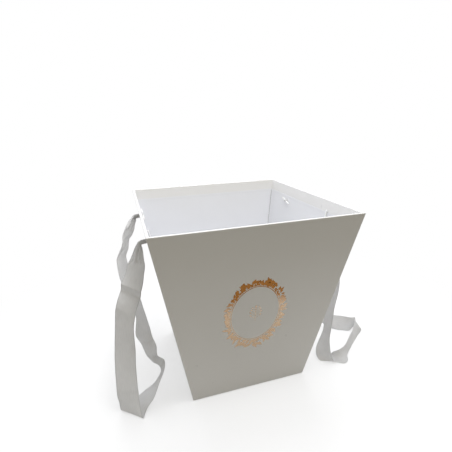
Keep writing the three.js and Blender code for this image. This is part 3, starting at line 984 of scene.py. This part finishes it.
# (distance along, height) in mm: the ribbon's waves off its route
LEFT_WAVES = [
    (0, 0), (50, 0.6), (64, 2.0), (68.5, 3.4), (77, -3.2), (98, 2.6), (148, -2.6), (200, 2.4), (226, 0),
    (305, 0), (315, 0.6), (333, -2.6), (352, 3.0), (376, -0.8), (400, 0), (470, 0), (486, -2),
    (500, 1.4), (600, 0),
]
RIGHT_WAVES = [
    (0, 0), (60, 0.5), (110, -1.2), (165, 1.2), (215, -0.5), (290, 0), (372, 0), (395, 1.2), (440, 0),
    (500, 2.0), (560, -2.0), (700, 0),
]

# (distance along, slant, height, spread): creases across the ribbon, in mm but for the slant
LEFT_CREASES = [
    (68.3, 0, 0.7, 1.3), (86, 0.5, 0.5, 5), (213, -0.7, -1.1, 7), (333, 0.8, -2.0, 9), (352, 0.5, 1.6, 6),
    (487, 1.3, 1.2, 3.0), (506, 1.0, -1.0, 4),
]
RIGHT_CREASES = [(245, 0.3, 0.4, 1.6), (318, -1.6, 1.5, 9), (395, 0.3, -1.2, 8)]


def make_handles():
    knots = {"left": [], "right": []}
    for seed, (side, end, along, tilt) in enumerate(RIBBON_ENDS):
        make_barb(side, end, along, tilt)
        knots[side].append(make_knot(side, end, along, tilt, seed))
    for side, route, waves, creases, seed in (
        ("left", LEFT_ROUTE, LEFT_WAVES, LEFT_CREASES, 11),
        ("right", RIGHT_ROUTE, RIGHT_WAVES, RIGHT_CREASES, 12),
    ):
        ribbon = make_ribbon(side, route, waves, creases, seed)


# ---------------------------------------------------------------- CAD nodes that stay

def finish_cad_nodes():
    """Boards, tapes and the two base papers keep their CAD shape."""
    slots = {row["node"]: row["material_slot"] for row in frame["record"]["subparts"]}
    for name, node in frame["nodes"].items():
        if node.hide_render:
            continue
        node.data.materials.clear()
        node.data.materials.append(MATERIALS[slots[name]])


make_handles()
make_wrap()
make_side_liner()
make_wreath()
make_sprig()
finish_cad_nodes()


# ---------------------------------------------------------------- stage and light

BRIGHT_SIDE = (0.12, 0.86, 0)       # way to the brightest part of the surroundings
BRIGHT_SKY = (1.05, 1.06, 1.08, 1)
DIM_SKY = (0.36, 0.31, 0.17, 1)
OVERHEAD_SKY = (0.55, 0.57, 0.61, 1)
NEAR_FLOOR = (0.46, 0.455, 0.45, 1)  # for light bounced on to the box
FAR_FLOOR = (0.10, 0.085, 0.06, 1)
NEAR_FLOOR_END = -0.27              # the nearer floor's front edge
FAR_FLOOR_START = -0.34
FLOOR_SHADE = 0.5                   # how much of the shading under the box shows on the white floor
SHADE_FULL = 0.12                   # distances from the middle between which that shading fades
SHADE_GONE = 0.5
DIM_FACING = -0.85                  # dot product with BRIGHT_SIDE, below which the sky is dim
BRIGHT_FACING = 0.15                # and above which it is bright
OVERHEAD_START = 0.3                # upward part of a direction at which the overhead sky begins
OVERHEAD_FULL = 0.95


def smooth_range(tree, value, low, high):
    made = tree.nodes.new("ShaderNodeMapRange")
    made.interpolation_type = "SMOOTHSTEP"
    tree.links.new(value, made.inputs["Value"])
    made.inputs["From Min"].default_value = low
    made.inputs["From Max"].default_value = high
    return made.outputs["Result"]


def make_floor():
    """A plain pale floor. For light bounced on to the box it is dimmer, and dark beyond its front edge."""
    size = 30.0
    points = [(-size, -size, 0), (size, -size, 0), (size, size, 0), (-size, size, 0)]
    mesh = bpy.data.meshes.new("floor")
    mesh.from_pydata(points, [], [(0, 1, 2, 3)])
    floor = bpy.data.objects.new("floor", mesh)
    bpy.context.scene.collection.objects.link(floor)
    material = bpy.data.materials.new("floor")
    material.use_nodes = True
    tree = material.node_tree
    tree.nodes.clear()
    add = tree.nodes.new
    link = tree.links.new
    place = add("ShaderNodeTexCoord").outputs["Object"]
    parts = add("ShaderNodeSeparateXYZ")
    link(place, parts.inputs[0])
    near = smooth_range(tree, parts.outputs["Y"], FAR_FLOOR_START, NEAR_FLOOR_END)
    bounced = add("ShaderNodeBsdfDiffuse")
    link(colour_mix(tree, near, FAR_FLOOR, NEAR_FLOOR), bounced.inputs["Color"])
    seen = add("ShaderNodeBsdfDiffuse")
    seen.inputs["Color"].default_value = (0.95, 0.95, 0.95, 1)
    white = add("ShaderNodeEmission")
    distance = add("ShaderNodeVectorMath")
    distance.operation = "LENGTH"
    link(place, distance.inputs[0])
    shown = add("ShaderNodeMixShader")
    fade = smooth_range(tree, distance.outputs["Value"], SHADE_FULL, SHADE_GONE)
    fade.node.inputs["To Min"].default_value = 1 - FLOOR_SHADE
    link(fade, shown.inputs[0])
    link(seen.outputs[0], shown.inputs[1])
    link(white.outputs[0], shown.inputs[2])
    both = add("ShaderNodeMixShader")
    link(add("ShaderNodeLightPath").outputs["Is Camera Ray"], both.inputs[0])
    link(bounced.outputs[0], both.inputs[1])
    link(shown.outputs[0], both.inputs[2])
    link(both.outputs[0], add("ShaderNodeOutputMaterial").inputs["Surface"])
    mesh.materials.append(material)


def make_world():
    """Soft surroundings: bright behind and at the sides, greyer overhead, dim and warm in front."""
    world = bpy.data.worlds.new("studio")
    bpy.context.scene.world = world
    world.use_nodes = True
    tree = world.node_tree
    tree.nodes.clear()
    add = tree.nodes.new
    link = tree.links.new
    way = add("ShaderNodeTexCoord").outputs["Generated"]
    facing = add("ShaderNodeVectorMath")
    facing.operation = "DOT_PRODUCT"
    link(way, facing.inputs[0])
    facing.inputs[1].default_value = BRIGHT_SIDE
    side = smooth_range(tree, facing.outputs["Value"], DIM_FACING, BRIGHT_FACING)
    around = colour_mix(tree, side, DIM_SKY, BRIGHT_SKY)
    height = add("ShaderNodeSeparateXYZ")
    link(way, height.inputs[0])
    above = smooth_range(tree, height.outputs["Z"], OVERHEAD_START, OVERHEAD_FULL)
    overhead = colour_mix(tree, above, around, OVERHEAD_SKY)
    lighting = add("ShaderNodeBackground")
    link(overhead, lighting.inputs["Color"])
    seen = add("ShaderNodeBackground")
    seen.inputs["Color"].default_value = (1, 1, 1, 1)
    both = add("ShaderNodeMixShader")
    link(add("ShaderNodeLightPath").outputs["Is Camera Ray"], both.inputs[0])
    link(lighting.outputs[0], both.inputs[1])
    link(seen.outputs[0], both.inputs[2])
    link(both.outputs[0], add("ShaderNodeOutputWorld").inputs["Surface"])


def make_lamp(name, at, aim, size, power):
    data = bpy.data.lights.new(name, "AREA")
    data.shape = "SQUARE"
    data.size = size
    data.energy = power
    lamp = bpy.data.objects.new(name, data)
    lamp.location = at
    lamp.rotation_mode = "QUATERNION"
    lamp.rotation_quaternion = (Vector(at) - Vector(aim)).to_track_quat("Z", "Y")
    bpy.context.scene.collection.objects.link(lamp)


make_floor()
make_world()
make_lamp("overhead", at=(0.1, 0.45, 1.3), aim=(0, 0, 0.1), size=1.0, power=9)
make_lamp("above_front", at=(0.15, -0.40, 1.35), aim=(0, -0.05, 0.1), size=0.45, power=7)
bpy.context.scene.view_settings.view_transform = "Standard"
